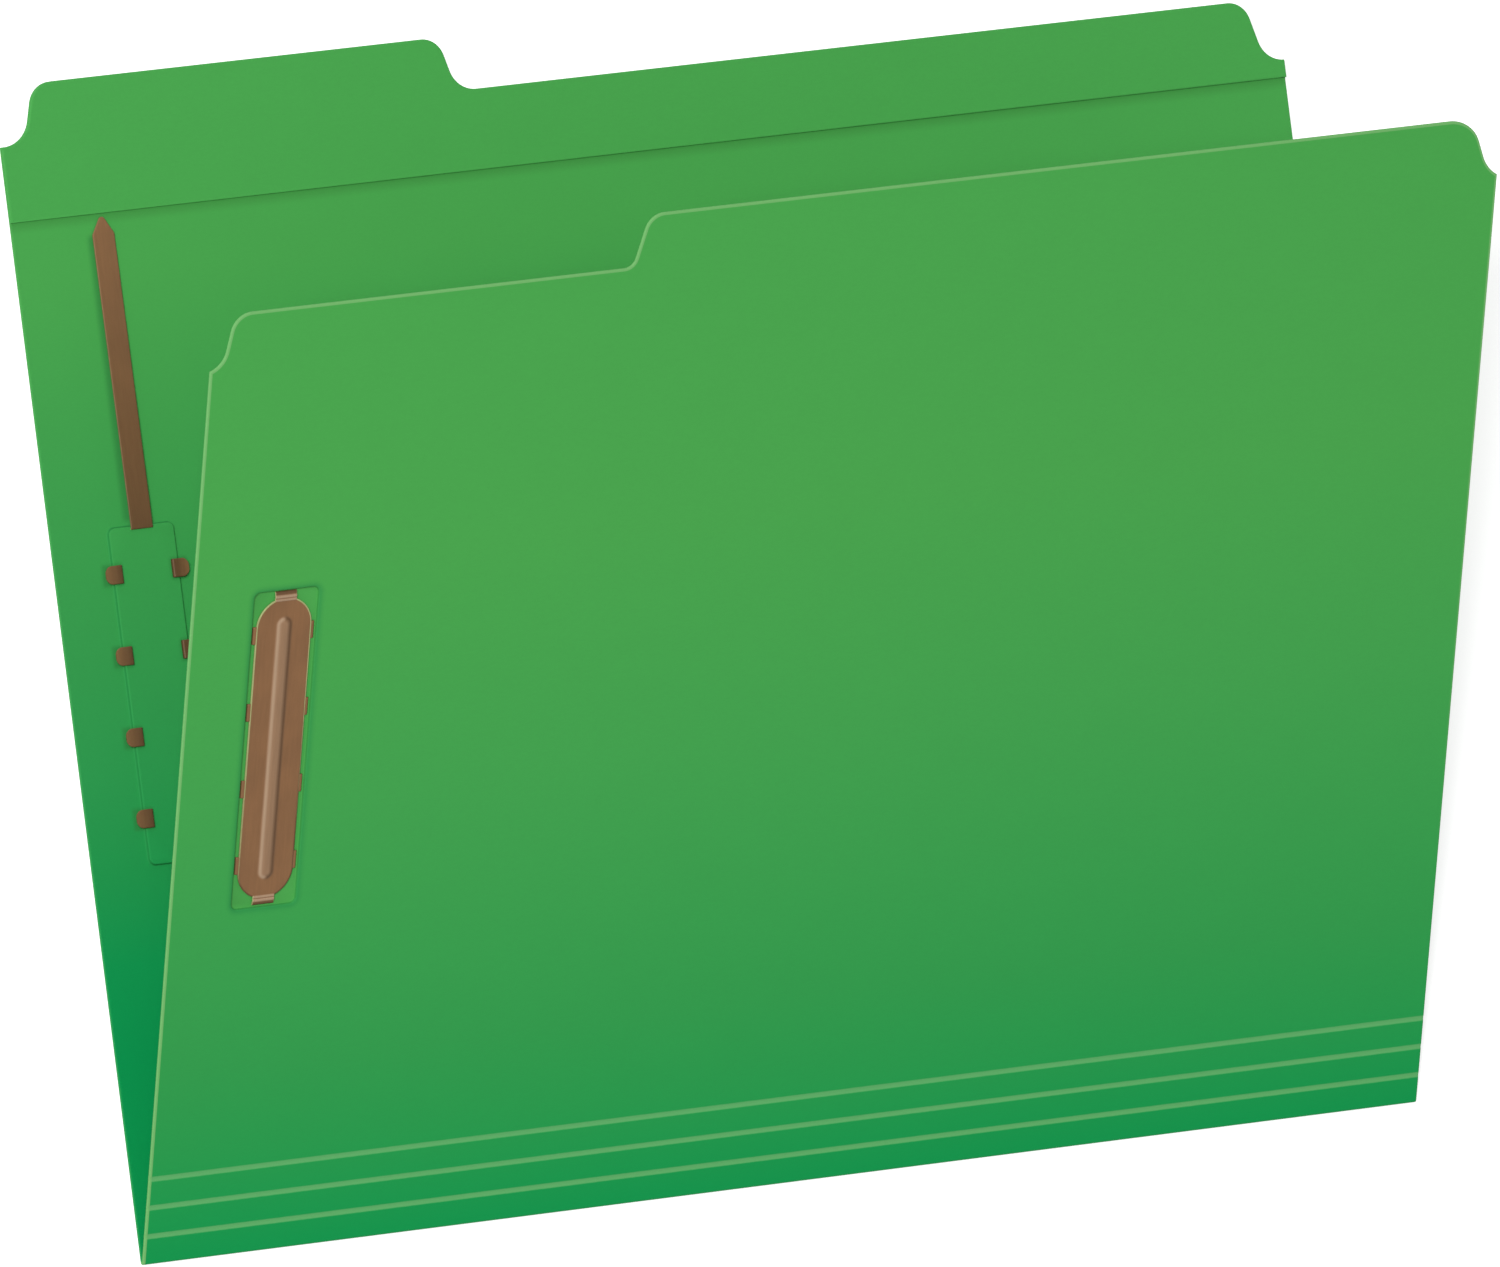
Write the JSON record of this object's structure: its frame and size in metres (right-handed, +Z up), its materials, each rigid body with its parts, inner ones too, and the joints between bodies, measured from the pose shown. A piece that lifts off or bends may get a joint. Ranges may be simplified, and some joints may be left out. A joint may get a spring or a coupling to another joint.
{
  "type": "fastener folder",
  "caption": "Pressboard filing folder with a left third-cut tab, scored expanding fold and bendable prong fasteners set in embossed recesses.",
  "frame": {"origin": "middle of the back panel's underside, on the surface that the folder lies on", "axes": "+X along the fold, towards the end away from the tab; +Y from the fold to the tab; +Z up, away from the surface"},
  "size_m": [0.2984, 0.2415, 0.0904],
  "materials": {
    "board": "smooth green pressboard, matte with a faint calendered sheen, lighter on cut and creased edges",
    "fastener_metal": "brown coated sheet steel, satin"
  },
  "bodies": {
    "back": {"back_panel": "board", "back_top_ply": "board", "back_fastener": "fastener_metal"},
    "strip_1": {"gusset_strip_1": "board"},
    "strip_2": {"gusset_strip_2": "board"},
    "strip_3": {"gusset_strip_3": "board"},
    "cover": {"front_panel": "board", "front_fastener": "fastener_metal"},
    "back_upper": {"back_upper_prong": "fastener_metal"},
    "back_lower": {"back_lower_prong": "fastener_metal"},
    "front_upper": {"front_upper_prong": "fastener_metal"},
    "front_lower": {"front_lower_prong": "fastener_metal"}
  },
  "joints": [
    {"name": "spine_fold", "type": "hinge", "parent": "back", "child": "strip_1", "pos_m": [0, -0.12065, 0.00064], "axis": [1, 0, 0], "range_deg": [-21, 155.8]},
    {"name": "score_1_crease", "type": "hinge", "parent": "strip_1", "child": "strip_2", "pos_m": [0, -0.11545, 0.00298], "axis": [-1, 0, 0], "range_deg": [0, 22.5]},
    {"name": "score_2_crease", "type": "hinge", "parent": "strip_2", "child": "strip_3", "pos_m": [0, -0.1097, 0.00556], "axis": [-1, 0, 0], "range_deg": [0, 22.5]},
    {"name": "score_3_crease", "type": "hinge", "parent": "strip_3", "child": "cover", "pos_m": [0, -0.10396, 0.00814], "axis": [-1, 0, 0], "range_deg": [0, 22.5]},
    {"name": "back_upper_prong_bend", "type": "hinge", "parent": "back", "child": "back_upper", "pos_m": [-0.12862, 0.02799, 0.00177], "axis": [1, 0, 0], "range_deg": [0, 90]},
    {"name": "back_lower_prong_bend", "type": "hinge", "parent": "back", "child": "back_lower", "pos_m": [-0.12862, -0.04006, 0.00177], "axis": [-1, 0, 0], "range_deg": [0, 6]},
    {"name": "front_upper_prong_bend", "type": "hinge", "parent": "cover", "child": "front_upper", "pos_m": [-0.12752, 0.0112, 0.05866], "axis": [-1, 0, 0], "range_deg": [0, 84]},
    {"name": "front_lower_prong_bend", "type": "hinge", "parent": "cover", "child": "front_lower", "pos_m": [-0.12752, -0.05087, 0.03076], "axis": [-1, 0, 0], "range_deg": [0, 48]}
  ]
}
